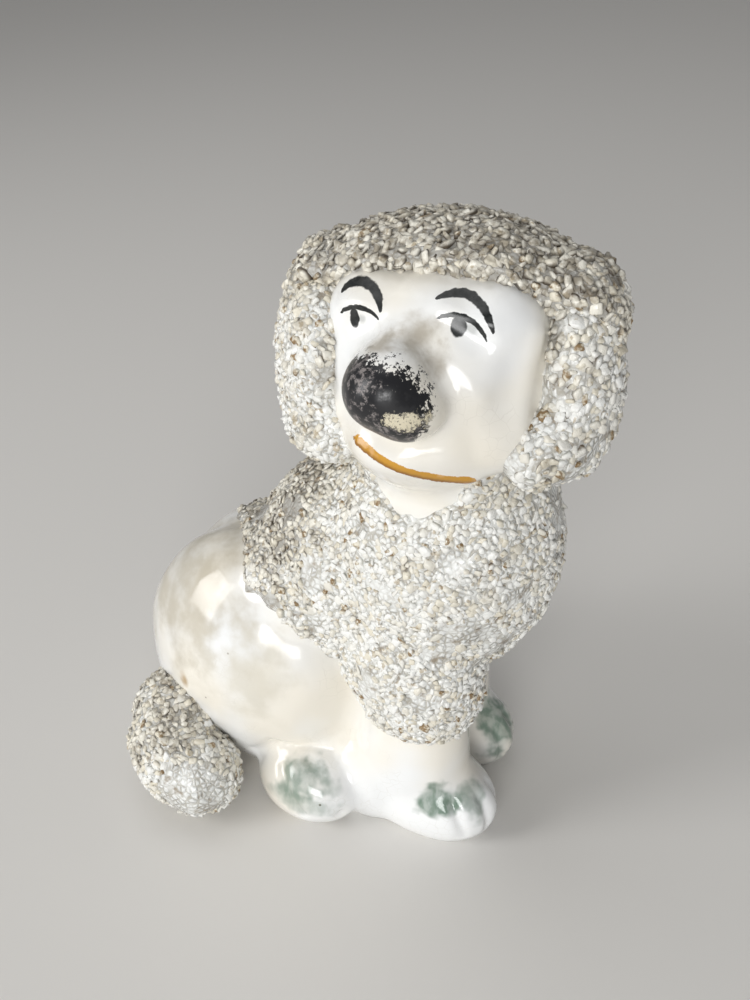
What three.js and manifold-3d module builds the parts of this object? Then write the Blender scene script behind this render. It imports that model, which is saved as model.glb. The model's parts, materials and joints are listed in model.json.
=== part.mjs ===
// A sitting poodle figurine in glazed earthenware, about 90 mm tall. The body is seen side on,
// its chest towards +X, and the head is turned to face -Y. Units are millimetres, +Z is up, and
// the figure stands on Z = 0.
//
// It is put together as a potter makes it. Body and head are hollow shells, each pressed in a
// two-part mould and joined along a parting plane. A slab with a vent hole closes the foot.
// Legs, paws, ears and tail are solid pieces stuck on with slip, and coats of clay shreds cover
// the crown, the ears, the tail and the mane.
import * as THREE from "three";
import { mergeVertices } from "three/addons/utils/BufferGeometryUtils.js";
import Module from "manifold-3d";

const wasm = await Module();
wasm.setup();

// ---- clay ----
const WALL = 3.4; // pressed wall of body and head
const JOINT = 0.3; // clearance at every joint between two pieces
const COAT = 1.9; // thickness of the shred coats
const SLAB = 3.2; // thickness of the slab that closes the foot
const VENT_RADIUS = 2.5; // vent hole in the slab

// ---- body, by its half sizes ----
const HAUNCH = { length: 19, width: 13, height: 20 };
const HAUNCH_SPREAD = 8; // each haunch's centre from the middle plane
const FLOOR_SINK = 0.5; // how far the haunches and the paws are pressed flat by the ground
const RUMP = { length: 16.5, width: 14, height: 17.5 }; // fills the dip between the haunches
const WAIST = { length: 12, width: 13.5, height: 16 };
const WAIST_LEAN = 45; // degrees, its top towards the chest
const SEAT = { length: 22, width: 17, height: 13 }; // the flattened underside
const WELL = { length: 13.5, width: 9.5 }; // the hollow's open foot, which the slab closes
const SEAT_FLATNESS = 0.62; // height of the seat's middle over its half height
const BELLY = { length: 17, width: 13, height: 17 };
const BELLY_SINK = 3;
const SHOULDER = { length: 15.5, width: 14, height: 19 };
const SHOULDER_LEAN = 38;
const SHOULDER_RISE = 0.9; // its middle above the haunches', over their half height
const CHEST = { length: 15.6, width: 14.5, height: 20 };
const CHEST_LEAN = 12;
const CHEST_CLEARANCE = 2.5; // underside of the chest above the forelegs' tops
const ARM = { length: 10, width: 7.4, height: 15 }; // upper foreleg, which the mane covers
const ARM_BACK = 1.5;
const ARM_LEAN = -8;
const ARM_OVERLAP = 0.45; // its middle above the foreleg's top, over its half height
const NECK = { length: 11.5, width: 11, height: 13 };
const NECK_SINK = 2; // the neck's middle below the chest's top
const NECK_NEARER = 1; // the neck and the head stand this far to the near side

// ---- where the masses stand along the body, from the haunches' centre ----
const BELLY_AHEAD = 15;
const SEAT_AHEAD = 7;
const SHOULDER_AHEAD = 14.5;
const CHEST_AHEAD = 26.5;
const NECK_AHEAD = 27;
const LEGS_AHEAD = 27.5;
const WAIST_AHEAD = 6;
const WAIST_HEIGHT = 31;
const RUMP_BACK = 1.5;
const RUMP_HEIGHT = 21;

// ---- head ----
const SKULL = { width: 15, depth: 14, height: 14.5 };
const HEAD_SINK = 2.5; // the skull's middle below the neck's top
const JAW = { width: 11.5, depth: 10.5, height: 9, at: [-1, -4, -6.5] };
const MUZZLE = { width: 5.8, depth: 7.2, height: 5.4, at: [-2.5, -14, 0.4] };
const BRIDGE = { width: 3.4, depth: 5.2, height: 3.4, at: [-2.2, -9.6, 4.4] };
const BROW = { width: 6.6, depth: 6.4, height: 6.2, at: [6.9, -4.8, 6.1] };
const CHEEK = { width: 6, depth: 6.2, height: 6.8, at: [7.5, -5.2, -5] };
const TOPKNOT = { width: 19.6, depth: 15.4, height: 12.9, at: [0, 2, 6] }; // outside of the coat
const TEMPLE = { width: 7.6, depth: 10.6, height: 8.6, at: [14.2, 1.5, 6.8] };
const HEAD_TURN = 12; // degrees that the face stays short of a full quarter turn
const HEAD_LIFT = 10; // degrees that the face looks up
const HEAD_TILT = -3; // degrees that the far ear is raised
const HAIRLINE = -4; // where the crown's coat stops, in front of the skull's middle
const CROWN_TOP = 8.5; // its height above the skull's middle at that line
const HAIRLINE_SLOPE = 33; // degrees from upright

// ---- applied pieces ----
const EAR = { width: 3, depth: 6.4, height: 11.4 };
const EAR_OVERLAP = 0.4; // how deep the ear is set in the skull
const EAR_BACK = 1;
const EAR_DROP = 0.9; // the ear's middle below the skull's
const LEG_TOP_RADIUS = 8.4;
const ANKLE_RADIUS = 7.4;
const SOLE_RADIUS = 3.7;
const SOLE_HEIGHT = 3;
const LEG_HEIGHT = 22;
const LEG_SPREAD = 7.4; // each foreleg's axis from the middle plane
const FAR_LEG_BACK = 4.2; // the far foreleg stands this far behind the near one
const FORE_PAW = { length: 12, width: 7.3, height: 7.5 };
const FORE_PAW_AHEAD = 1.4; // from the foreleg's axis
const FORE_PAW_MIDDLE = 4; // height
const HIND_PAW = { length: 8.6, width: 6, height: 6.4 };
const HIND_PAW_AHEAD = 13.4; // from the haunches' centre
const HIND_PAW_SPREAD = 16; // from the middle plane
const HIND_PAW_SINK = 1.6;
const HIND_PAW_TURN = 8; // degrees outwards
const TAIL_ROOT_RADIUS = 5;
const TAIL_RADIUS = 5.6;
const TAIL_TIP_RADIUS = 5;
const TAIL_TURNS = [
  // along the body from the haunches' centre, out from the near haunch, height
  [-10, -9, 14.5],
  [-9.4, -2, 11.2],
  [-6, 2.8, 8.2],
  [-1.4, 4, 7.2],
];
const TAIL_COAT_FOOT = 0.4; // the tail's coat ends this far above the ground

// ---- mane: its lower edge falls from the back to the chest ----
const MANE_BACK_EDGE = 41.5; // height of the edge over the haunches' middle
const MANE_SLOPE = 43; // degrees
const MANE_CHEST_EDGE = 18; // lowest height of the mane
const MANE_REAR = -9.5; // how far it reaches along the back, from the haunches' centre
const MANE_REAR_SWEEP = 40; // degrees that its rear edge runs forwards to each side
const MANE_WAIST = 35.5; // height of the edge behind the shoulders

// ---- facets ----
const FINE = [16, 11];
const PLAIN = [12, 8];

// ================= solids =================

// A closed three.js geometry as a solid.
function solid(geometry) {
  const bare = new THREE.BufferGeometry().setAttribute("position", geometry.getAttribute("position"));
  if (geometry.index) bare.setIndex(geometry.index);
  const merged = mergeVertices(bare, 1e-4);
  const mesh = new wasm.Mesh({
    numProp: 3,
    vertProperties: merged.attributes.position.array,
    triVerts: new Uint32Array(merged.index.array),
  });
  return new wasm.Manifold(mesh);
}

// A solid as a three.js geometry.
function geometryOf(shape) {
  const mesh = shape.getMesh();
  const positions = new Float32Array(mesh.numVert * 3);
  for (let i = 0; i < mesh.numVert; i++) {
    positions.set(mesh.vertProperties.subarray(i * mesh.numProp, i * mesh.numProp + 3), i * 3);
  }
  const geometry = new THREE.BufferGeometry();
  geometry.setAttribute("position", new THREE.BufferAttribute(positions, 3));
  geometry.setIndex(new THREE.BufferAttribute(mesh.triVerts, 1));
  geometry.computeVertexNormals();
  return geometry;
}

const join = (shapes) => shapes.reduce((all, shape) => all.add(shape));

// The biggest body of a shape: a cut can leave crumbs at a rim.
const biggest = (shape) =>
  shape.decompose().reduce((best, body) => (body.volume() > best.volume() ? body : best));

// A place: a position, and turns about X, Y and Z that are applied in the order Z, X, Y.
function place(x, y, z, turnX = 0, turnY = 0, turnZ = 0) {
  const turns = new THREE.Euler(...[turnX, turnY, turnZ].map(THREE.MathUtils.degToRad), "ZXY");
  return new THREE.Matrix4().makeRotationFromEuler(turns).setPosition(x, y, z);
}

// An oval form at a place. It is a function of how far it is swelled, so that walls, joints and
// coats follow it.
const oval = (at, x, y, z) => (swell, facets = FINE) =>
  solid(new THREE.SphereGeometry(1, ...facets).scale(x + swell, y + swell, z + swell).applyMatrix4(at));

// A column turned on Z through [radius, height] pairs, squeezed to an oval section along Y.
const column = (at, outline, squeeze = 1) => (swell, facets = FINE) => {
  const low = outline[0][1] - swell;
  const high = outline[outline.length - 1][1] + swell;
  const profile = [
    new THREE.Vector2(0, low),
    new THREE.Vector2(outline[0][0] + swell, low),
    ...outline.slice(1, -1).map(([radius, height]) => new THREE.Vector2(radius + swell, height)),
    new THREE.Vector2(outline[outline.length - 1][0] + swell, high),
    new THREE.Vector2(0, high),
  ];
  const turned = new THREE.LatheGeometry(profile, facets[0]).rotateX(Math.PI / 2);
  return solid(turned.scale(1, squeeze, 1).applyMatrix4(at));
};

// A chain of balls along a smooth curve, as clay rolled and curled.
const roll = (points, radii) => (swell, facets = PLAIN) => {
  const curve = new THREE.CatmullRomCurve3(points.map((p) => new THREE.Vector3(...p)));
  const count = radii.length;
  const balls = radii.map((radius, i) => {
    const { x, y, z } = curve.getPoint(i / (count - 1));
    return oval(place(x, y, z), radius, radius, radius)(swell, facets);
  });
  return join(balls);
};

// A box between two corners, at a place.
const block = (low, high, at = place(0, 0, 0)) => {
  const size = high.map((v, i) => v - low[i]);
  const middle = high.map((v, i) => (v + low[i]) / 2);
  return solid(new THREE.BoxGeometry(...size).translate(...middle).applyMatrix4(at));
};

const FAR = 120; // beyond everything
const ground = block([-FAR, -FAR, -FAR], [FAR, FAR, 0]);
const union = (forms, swell, facets) => join(forms.map((form) => form(swell, facets)));

// ================= forms =================

const SIDES = [-1, 1]; // near, far
const ellipsoid = (at, { length, width, height }) => oval(at, length, width, height);

const haunchMiddle = HAUNCH.height - FLOOR_SINK;
const haunches = SIDES.map((side) => ellipsoid(place(0, side * HAUNCH_SPREAD, haunchMiddle), HAUNCH));
const rump = ellipsoid(place(-RUMP_BACK, 0, RUMP_HEIGHT), RUMP);
const waist = ellipsoid(place(WAIST_AHEAD, 0, WAIST_HEIGHT, 0, WAIST_LEAN), WAIST);
const seat = ellipsoid(place(SEAT_AHEAD, 0, SEAT.height * SEAT_FLATNESS), SEAT);
const belly = ellipsoid(place(BELLY_AHEAD, 0, BELLY.height - BELLY_SINK), BELLY);
const shoulderHeight = haunchMiddle + HAUNCH.height * SHOULDER_RISE;
const shoulder = ellipsoid(place(SHOULDER_AHEAD, 0, shoulderHeight, 0, SHOULDER_LEAN), SHOULDER);
const chestHeight = LEG_HEIGHT + CHEST_CLEARANCE + CHEST.height;
const chest = ellipsoid(place(CHEST_AHEAD, 0, chestHeight, 0, CHEST_LEAN), CHEST);
const neckHeight = chestHeight + CHEST.height - NECK_SINK;
const neck = ellipsoid(place(NECK_AHEAD, -NECK_NEARER, neckHeight), NECK);
const legPlaces = [
  place(LEGS_AHEAD, -LEG_SPREAD, 0), // near
  place(LEGS_AHEAD - FAR_LEG_BACK, LEG_SPREAD, 0),
];
const armHeight = LEG_HEIGHT + ARM.height * ARM_OVERLAP;
const arms = legPlaces.map((at) =>
  ellipsoid(at.clone().multiply(place(-ARM_BACK, 0, armHeight, 0, ARM_LEAN)), ARM),
);
const upperForms = [...haunches, rump, waist, shoulder, chest, neck, ...arms];
const bodyForms = [...upperForms, seat, belly];

const skullHeight = neckHeight + NECK.height - HEAD_SINK;
const headPlace = place(CHEST_AHEAD, -NECK_NEARER, skullHeight, -HEAD_LIFT, HEAD_TILT, HEAD_TURN);
const inHead = (x, y, z) => headPlace.clone().multiply(place(x, y, z));
const onHead = ({ width, depth, height, at: [x, y, z] = [0, 0, 0] }, side = 1) =>
  oval(inHead(side * x, y, z), width, depth, height);
const skull = onHead(SKULL);
const browsAndCheeks = SIDES.flatMap((side) => [onHead(BROW, side), onHead(CHEEK, side)]);
const headForms = [skull, onHead(JAW), onHead(MUZZLE), onHead(BRIDGE), ...browsAndCheeks];
const crown = [onHead(TOPKNOT), ...SIDES.map((side) => onHead(TEMPLE, side))];

const earOut = SKULL.width + EAR.width - EAR_OVERLAP;
const ears = SIDES.map((side) => onHead({ ...EAR, at: [side * earOut, EAR_BACK, -EAR_DROP] }));

const forelegs = legPlaces.map((at) => [
  column(at, [
    [SOLE_RADIUS, 0],
    [ANKLE_RADIUS, SOLE_HEIGHT],
    [ANKLE_RADIUS, LEG_HEIGHT / 2],
    [LEG_TOP_RADIUS, LEG_HEIGHT],
  ]),
  ellipsoid(at.clone().multiply(place(FORE_PAW_AHEAD, 0, FORE_PAW_MIDDLE)), FORE_PAW),
]);
const hindPawHeight = HIND_PAW.height - HIND_PAW_SINK;
const hindPaws = SIDES.map((side) =>
  ellipsoid(
    place(HIND_PAW_AHEAD, side * HIND_PAW_SPREAD, hindPawHeight, 0, 0, side * HIND_PAW_TURN),
    HIND_PAW,
  ),
);
const tail = roll(
  TAIL_TURNS.map(([x, out, z]) => [x, -(HAUNCH_SPREAD + HAUNCH.width + out), z]),
  [TAIL_ROOT_RADIUS, TAIL_RADIUS, TAIL_RADIUS, TAIL_RADIUS, TAIL_TIP_RADIUS],
);

// ================= pieces =================

const bodyOuter = union(bodyForms, 0).subtract(ground);
const well = (swell) => {
  const length = WELL.length + swell;
  const outline = [-SLAB, SEAT.height - WALL].map((height) => [length, height]);
  return column(place(SEAT_AHEAD, 0, 0), outline, (WELL.width + swell) / length)(0);
};
const hollowForms = [...haunches, belly, shoulder, chest, neck];
const bodyInner = union(hollowForms, -WALL, PLAIN).add(well(0));
const bodyRoom = union(bodyForms, JOINT); // what a piece stuck to the body is cut back by
const bodyShell = bodyOuter.subtract(bodyInner);
const headOuter = union(headForms, 0);
const headRoom = union(headForms, JOINT);
const headInner = skull(-WALL, PLAIN);
const headShell = headOuter.subtract(headInner).subtract(bodyRoom);

// Each shell's two halves meet at its parting plane.
const halves = (shell, at) => [
  biggest(shell.subtract(block([-FAR, -JOINT / 2, -FAR], [FAR, FAR, FAR], at))),
  biggest(shell.subtract(block([-FAR, -FAR, -FAR], [FAR, JOINT / 2, FAR], at))),
];
const [bodyNear, bodyBack] = halves(bodyShell, place(0, 0, 0));
const [headFace, headBack] = halves(headShell, headPlace);

// The slab fills the shell's foot and has the vent through it.
const slabPlate = block([-FAR, -FAR, 0], [FAR, FAR, SLAB]);
const ventHole = solid(
  new THREE.CylinderGeometry(VENT_RADIUS, VENT_RADIUS, SLAB * 4, 32)
    .rotateX(Math.PI / 2)
    .applyMatrix4(place(SEAT_AHEAD, 0, 0)),
);
const footSlab = well(-JOINT).intersect(slabPlate).subtract(ventHole);

const legPieces = forelegs.map((forms) => union(forms, 0).subtract(bodyRoom).subtract(ground));
const middleGap = block([-FAR, -JOINT / 2, -FAR], [FAR, JOINT / 2, FAR]);
const [legNear, legFar] = legPieces.map((leg) => biggest(leg.subtract(middleGap)));
const legRoom = join(forelegs.map((forms) => union(forms, JOINT)));
const [hindNear, hindFar] = hindPaws.map((paw) =>
  biggest(paw(0).subtract(bodyRoom).subtract(ground).subtract(legRoom)),
);

const tailCore = biggest(tail(0).subtract(bodyRoom).subtract(ground));
const [earNear, earFar] = ears.map((ear) =>
  biggest(ear(0).subtract(headRoom).subtract(bodyRoom)),
);

// Coats: a swelled form less the form itself, kept to its own stretch of the figure.
const hairline = inHead(0, HAIRLINE, CROWN_TOP).multiply(place(0, 0, 0, HAIRLINE_SLOPE));
const behindHairline = (swell) => block([-FAR, -swell, -FAR], [FAR, FAR, FAR], hairline);
const earRoom = join(ears.map((ear) => ear(JOINT)));
const crownOuter = (swell) =>
  union(crown, swell).add(skull(COAT + swell)).intersect(behindHairline(swell));
const crownCoat = biggest(
  crownOuter(0).subtract(headRoom).subtract(earRoom).subtract(bodyRoom),
);
const crownRoom = crownOuter(JOINT);
const [earCoatNear, earCoatFar] = ears.map((ear) =>
  biggest(
    ear(COAT + JOINT)
      .subtract(ear(JOINT))
      .subtract(headRoom)
      .subtract(crownRoom)
      .subtract(bodyRoom),
  ),
);
const headCoatRoom = join([headRoom, crownRoom, ...ears.map((ear) => ear(COAT + 2 * JOINT))]);

const maneEdge = place(0, 0, MANE_BACK_EDGE, 0, MANE_SLOPE);
const aboveEdge = block([-FAR, -FAR, 0], [FAR, FAR, FAR], maneEdge);
const onBack = SIDES.reduce((stretch, side) => {
  const swept = place(MANE_REAR, 0, 0, 0, 0, side * MANE_REAR_SWEEP);
  return stretch.intersect(block([0, -FAR, MANE_WAIST], [FAR, FAR, FAR], swept));
}, block([-FAR, -FAR, 0], [FAR, FAR, FAR]));
const maneStretch = aboveEdge
  .intersect(block([0, -FAR, MANE_CHEST_EDGE], [FAR, FAR, FAR]))
  .add(onBack);
const maneCoat = biggest(
  union(upperForms, COAT + JOINT)
    .intersect(maneStretch)
    .subtract(bodyRoom)
    .subtract(headCoatRoom)
    .subtract(legRoom),
);

const belowTailCoat = block([-FAR, -FAR, -FAR], [FAR, FAR, TAIL_COAT_FOOT]);
const tailCoat = biggest(
  tail(COAT + JOINT).subtract(tail(JOINT)).subtract(bodyRoom).subtract(belowTailCoat),
);

// ================= the figure =================

const glaze = { color: 0xe9e6df, roughness: 0.15, metalness: 0 };
const biscuit = { color: 0xd9d0c0, roughness: 0.75, metalness: 0 };
const shreds = { color: 0xdad6cb, roughness: 0.35, metalness: 0 };
const greenGlaze = { color: 0xc3cfc4, roughness: 0.15, metalness: 0 };

const pieces = {
  body_near_half: [bodyNear, glaze],
  body_far_half: [bodyBack, glaze],
  foot_slab: [footSlab, biscuit],
  head_face_half: [headFace, glaze],
  head_back_half: [headBack, glaze],
  foreleg_near: [legNear, greenGlaze],
  foreleg_far: [legFar, greenGlaze],
  hind_paw_near: [hindNear, greenGlaze],
  hind_paw_far: [hindFar, greenGlaze],
  ear_near: [earNear, glaze],
  ear_far: [earFar, glaze],
  tail_core: [tailCore, glaze],
  crown_coat: [crownCoat, shreds],
  ear_coat_near: [earCoatNear, shreds],
  ear_coat_far: [earCoatFar, shreds],
  mane_coat: [maneCoat, shreds],
  tail_coat: [tailCoat, shreds],
};

const figure = new THREE.Group();
for (const [name, [shape, finish]] of Object.entries(pieces)) {
  const mesh = new THREE.Mesh(geometryOf(shape), new THREE.MeshStandardMaterial(finish));
  mesh.name = name;
  figure.add(mesh);
}

// The origin is under the middle of the figure's box.
const box = new THREE.Box3().setFromObject(figure);
const middle = box.getCenter(new THREE.Vector3());
figure.position.set(-middle.x, -middle.y, -box.min.z);
figure.updateMatrixWorld(true);

export default figure;
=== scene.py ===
"""Looks for a sitting poodle figurine: white glaze, painted face and paws, and coats of clay shreds."""
import json
import math
import random

import bmesh
import bpy
from mathutils import Euler, Matrix, Vector, noise

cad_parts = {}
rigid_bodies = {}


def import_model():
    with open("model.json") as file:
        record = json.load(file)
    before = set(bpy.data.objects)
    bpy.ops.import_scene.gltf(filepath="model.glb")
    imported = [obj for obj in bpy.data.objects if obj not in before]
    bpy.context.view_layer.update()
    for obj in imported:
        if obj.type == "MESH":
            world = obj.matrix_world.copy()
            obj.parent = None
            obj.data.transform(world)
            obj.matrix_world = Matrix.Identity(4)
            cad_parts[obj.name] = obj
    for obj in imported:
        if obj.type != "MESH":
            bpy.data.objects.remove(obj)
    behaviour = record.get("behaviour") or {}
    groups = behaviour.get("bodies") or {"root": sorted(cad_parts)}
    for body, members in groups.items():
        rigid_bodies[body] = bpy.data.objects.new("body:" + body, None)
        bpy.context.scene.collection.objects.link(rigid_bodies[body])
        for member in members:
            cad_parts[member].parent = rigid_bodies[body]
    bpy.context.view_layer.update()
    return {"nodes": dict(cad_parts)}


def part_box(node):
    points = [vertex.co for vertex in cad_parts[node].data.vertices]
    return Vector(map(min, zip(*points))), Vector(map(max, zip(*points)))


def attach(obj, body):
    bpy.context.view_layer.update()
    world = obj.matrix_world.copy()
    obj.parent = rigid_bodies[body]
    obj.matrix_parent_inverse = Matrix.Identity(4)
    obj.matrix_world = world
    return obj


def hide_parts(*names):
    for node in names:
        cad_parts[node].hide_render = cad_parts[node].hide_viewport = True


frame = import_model()
MM = 0.001

# ---- where the figure stands in the frame, all in millimetres from here on ----
near_low, near_high = (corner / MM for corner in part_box("body_near_half"))
far_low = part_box("body_far_half")[0] / MM
HAUNCH_LENGTH = 19.0
HIP = Vector((near_low.x + HAUNCH_LENGTH, (near_high.y + far_low.y) / 2, 0.0))


def turn_by(x=0.0, y=0.0, z=0.0):
    """Degrees about each axis, as one turn: about Y, then X, then Z."""
    return Euler([math.radians(angle) for angle in (x, y, z)], "YXZ").to_matrix().to_4x4()


def place(x, y, z, *turns):
    """A place measured from the point on the ground under the hip."""
    return Matrix.Translation(HIP + Vector((x, y, z))) @ turn_by(*turns)


HEAD = place(26.5, -1.0, 73.0, -10.0, -3.0, 12.0)


def in_head(x, y, z, *turns):
    """A place measured in the head's own frame: -Y is the way the face looks."""
    return HEAD @ Matrix.Translation((x, y, z)) @ turn_by(*turns)


# ---- the modelled masses: (place, half sizes) ----
LEG_X = {-1: 27.5, 1: 23.3}
LEG_Y = 7.4
BODY_MASSES = [
    (place(0, -8, 19.5), (HAUNCH_LENGTH, 13, 20)),  # near haunch
    (place(1, 7.5, 17.5), (18, 12.5, 17.5)),  # far haunch
    (place(7, 0, 8), (22, 17, 13)),  # seat
    (place(15, 0, 14), (17, 13, 17)),  # belly
    (place(14.5, 0, 37.5, 0, 38), (15.5, 14, 19)),  # back
    (place(26.5, 0, 44.5, 0, 12), (15.6, 14.5, 20)),  # chest
    (place(27, -1, 62.5), (11.5, 11, 13)),  # neck
    (place(-1.2, -0.5, 20.5), (17.4, 18, 18.3)),  # rump
    (place(6, -2.5, 31.5, 0, 45), (12, 13.5, 16)),  # waist
]
ARM_MASSES = [(place(LEG_X[s] - 1.5, s * LEG_Y, 28.7, 0, -8), (10, 7.4, 15)) for s in (-1, 1)]
HEAD_MASSES = [
    (in_head(0, 0, 0), (15, 14, 14.5)),  # skull
    (in_head(-1, -4, -6.5), (11.5, 10.5, 9)),  # jaw
    (in_head(-2.5, -14, 0.4), (5.8, 7.2, 5.4)),  # muzzle
    (in_head(-0.6, -15, -1.4), (5.0, 5.4, 4.2)),  # nose
    (in_head(-2.2, -9.6, 4.4), (3.4, 5.2, 3.4)),  # bridge
    (in_head(-6.8, -4.8, 6.4), (6.6, 6.4, 6.2)),  # near brow
    (in_head(7.0, -4.8, 5.8), (6.6, 6.4, 6.2)),  # far brow
    (in_head(7, -5.5, -5), (6.5, 6.5, 7)),  # far cheek
    (in_head(-8, -5, -5), (5.5, 5.6, 6.5)),  # near cheek
    (in_head(-2.5, -9.5, -8.2), (7, 5.5, 4)),  # chin
]
LEG_MASSES = []
for side in (-1, 1):
    LEG_MASSES += [
        (place(LEG_X[side] - 1, side * LEG_Y, 12), (9.2, 7.4, 15)),  # foreleg
        (place(LEG_X[side] + 1.4, side * LEG_Y, 4), (12, 7.4, 7.5)),  # its paw
        (place(LEG_X[side] - 5.8, side * (LEG_Y + 2.6), 6), (7, 6, 9)),  # its heel
        (place(13.4, side * 16, 4.8, 0, 0, side * 8), (8.6, 6, 6.4)),  # hind paw
    ]

# ---- strokes of the modelling tool: (from, to, reach, depth), out where the depth is below zero ----
FACE_STROKES = [
    ((-9.6, -10.2, 6.2), (-6.0, -11.2, 6.2), 1.5, 0.45),
    ((2.6, -11.6, 7.0), (6.6, -11.4, 5.6), 1.7, 0.5),
    ((-9.9, -9.6, 8.4), (-5.6, -10.8, 8.6), 1.1, -0.35),
    ((2.0, -10.6, 9.3), (7.6, -10.6, 7.6), 1.2, -0.4),
    ((1.6, -13.8, 5.6), (4.6, -14.2, 1.6), 1.8, 0.5),
    ((3.4, -13.8, 3.6), (7.4, -12.2, -0.6), 1.3, -0.35),
    ((12.6, -7.4, 6.0), (11.6, -9.4, -4.0), 1.3, -0.45),
    ((10.2, -9.2, 5.4), (9.8, -10.8, -2.0), 1.8, 0.35),
    ((-6.0, -15.0, -5.6), (4.0, -14.6, -6.2), 1.4, 0.45),
    ((-7.0, -13.2, -7.2), (6.4, -9.6, -11.8), 1.2, -0.35),
]
TOOL_MARKS = [
    (in_head(*start).translation, in_head(*end).translation, reach, depth)
    for start, end, reach, depth in FACE_STROKES
]
GROOVES_UNDER = 1.6  # how far below the skin a groove's line may lie
TOE_GROOVES = []
for side in (-1, 1):
    for start, end, reach, depth in [
        ((14.5, 17.4, 10.4), (20.2, 18.2, 4.0), 0.8, 0.55),
        ((11.0, 19.8, 9.4), (15.8, 21.2, 3.6), 0.8, 0.5),
        ((5.4, 19.0, 8.0), (8.6, 17.6, 11.6), 0.9, 0.5),
        ((8.6, 17.6, 11.6), (17.0, 14.6, 11.4), 0.9, 0.45),
        ((11.4 + LEG_X[side], 1.4 + LEG_Y, 8.4), (13.2 + LEG_X[side], 1.4 + LEG_Y, 2.5), 0.8, 0.6),
        ((8.6 + LEG_X[side], 5.0 + LEG_Y, 8.4), (11.2 + LEG_X[side], 5.4 + LEG_Y, 2.5), 0.8, 0.55),
        ((11.4 + LEG_X[side], -2.6 + LEG_Y, 8.4), (13.2 + LEG_X[side], -2.6 + LEG_Y, 2.5), 0.8, 0.5),
    ]:
        ends = [place(x, side * y, z).translation for x, y, z in (start, end)]
        TOE_GROOVES.append((*ends, reach, depth))


# ================= mesh tools =================

def new_object(name, bm):
    """An object named so, at the origin, that holds the bmesh, which is freed. Its mesh is in metres."""
    mesh = bpy.data.meshes.new(name)
    bmesh.ops.scale(bm, vec=(MM,) * 3, verts=bm.verts)
    bm.to_mesh(mesh)
    bm.free()
    piece = bpy.data.objects.new(name, mesh)
    bpy.context.scene.collection.objects.link(piece)
    return piece


def baked(piece):
    """The piece's mesh with its modifiers in it, as a bmesh in millimetres. The piece is removed."""
    depsgraph = bpy.context.evaluated_depsgraph_get()
    mesh = bpy.data.meshes.new_from_object(piece.evaluated_get(depsgraph))
    bm = bmesh.new()
    bm.from_mesh(mesh)
    bmesh.ops.scale(bm, vec=(1 / MM,) * 3, verts=bm.verts)
    bpy.data.meshes.remove(mesh)
    bpy.data.objects.remove(piece)
    return bm


def fused(masses, voxel, rounds, swell=0.0):
    """Ovals melted into one skin: `rounds` of smoothing fillet the creases between them."""
    bm = bmesh.new()
    for at, half_sizes in masses:
        size = Matrix.Diagonal([half + swell for half in half_sizes]).to_4x4()
        bmesh.ops.create_icosphere(bm, subdivisions=5, radius=1, matrix=at @ size)
    lump = new_object("lump", bm)
    remesh = lump.modifiers.new("melt", "REMESH")
    remesh.mode = "VOXEL"
    remesh.voxel_size = voxel * MM
    bm = baked(lump)
    every_axis = {"use_axis_" + axis: True for axis in "xyz"}
    for _ in range(rounds):
        bmesh.ops.smooth_vert(bm, verts=bm.verts, factor=0.5, **every_axis)
    return bm


FADED = 2.2  # this many reaches away a mark is gone


def press(bm, strokes, buried=0.0):
    """Tool marks: along each line the surface goes in by `depth`, and the mark fades over its reach.

    A line that lies up to `buried` under the surface still marks it as if it lay on it.
    """
    for start, end, reach, depth in strokes:
        along = end - start
        for v in bm.verts:
            share = min(max((v.co - start).dot(along) / along.length_squared, 0.0), 1.0)
            offset = v.co - start - along * share
            if offset.length < FADED * reach + buried:
                under = min(max(offset.dot(v.normal), -buried), buried)
                away = (offset - v.normal * under).length / reach
                v.co -= v.normal * (depth * math.exp(-away * away))


def cut(bm, point, normal, clear=False):
    """A straight cut, and its edges. With `clear`, what lies ahead of it is taken off."""
    geometry = bm.verts[:] + bm.edges[:] + bm.faces[:]
    made = bmesh.ops.bisect_plane(
        bm, geom=geometry, dist=1e-5, plane_co=point, plane_no=normal, clear_outer=clear
    )
    return [e for e in made["geom_cut"] if isinstance(e, bmesh.types.BMEdge)]


# ================= materials =================

def add(tree, kind, inputs=None, **settings):
    """A node with its settings and inputs. An input is a plain value or another node's socket."""
    made = tree.nodes.new(kind)
    for key, value in settings.items():
        setattr(made, key, value)
    for key, value in (inputs or {}).items():
        if isinstance(value, bpy.types.NodeSocket):
            tree.links.new(value, made.inputs[key])
        else:
            made.inputs[key].default_value = value
    return made


def noise_at(tree, vector, size, detail=2.0, roughness=0.5):
    """Noise whose features are about `size` millimetres across."""
    made = add(tree, "ShaderNodeTexNoise", {
        "Vector": vector, "Scale": 1 / (size * MM), "Detail": detail, "Roughness": roughness,
    })
    return made.outputs["Fac"]


def ramp(tree, value, low, high, to_low=0.0, to_high=1.0):
    """The value carried smoothly from low..high to to_low..to_high."""
    made = add(tree, "ShaderNodeMapRange", {
        "Value": value, "From Min": low, "From Max": high, "To Min": to_low, "To Max": to_high,
    }, interpolation_type="SMOOTHSTEP")
    return made.outputs["Result"]


def math_of(tree, operation, first, second=0.0):
    """A sum on two values."""
    made = add(tree, "ShaderNodeMath", {0: first, 1: second}, operation=operation)
    return made.outputs[0]


def vector_math(tree, operation, first, second):
    """A sum on two vectors."""
    return add(tree, "ShaderNodeVectorMath", {0: first, 1: second}, operation=operation).outputs[0]


def attribute(tree, name):
    """A value that the mesh carries."""
    return add(tree, "ShaderNodeAttribute", attribute_name=name).outputs["Fac"]


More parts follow.
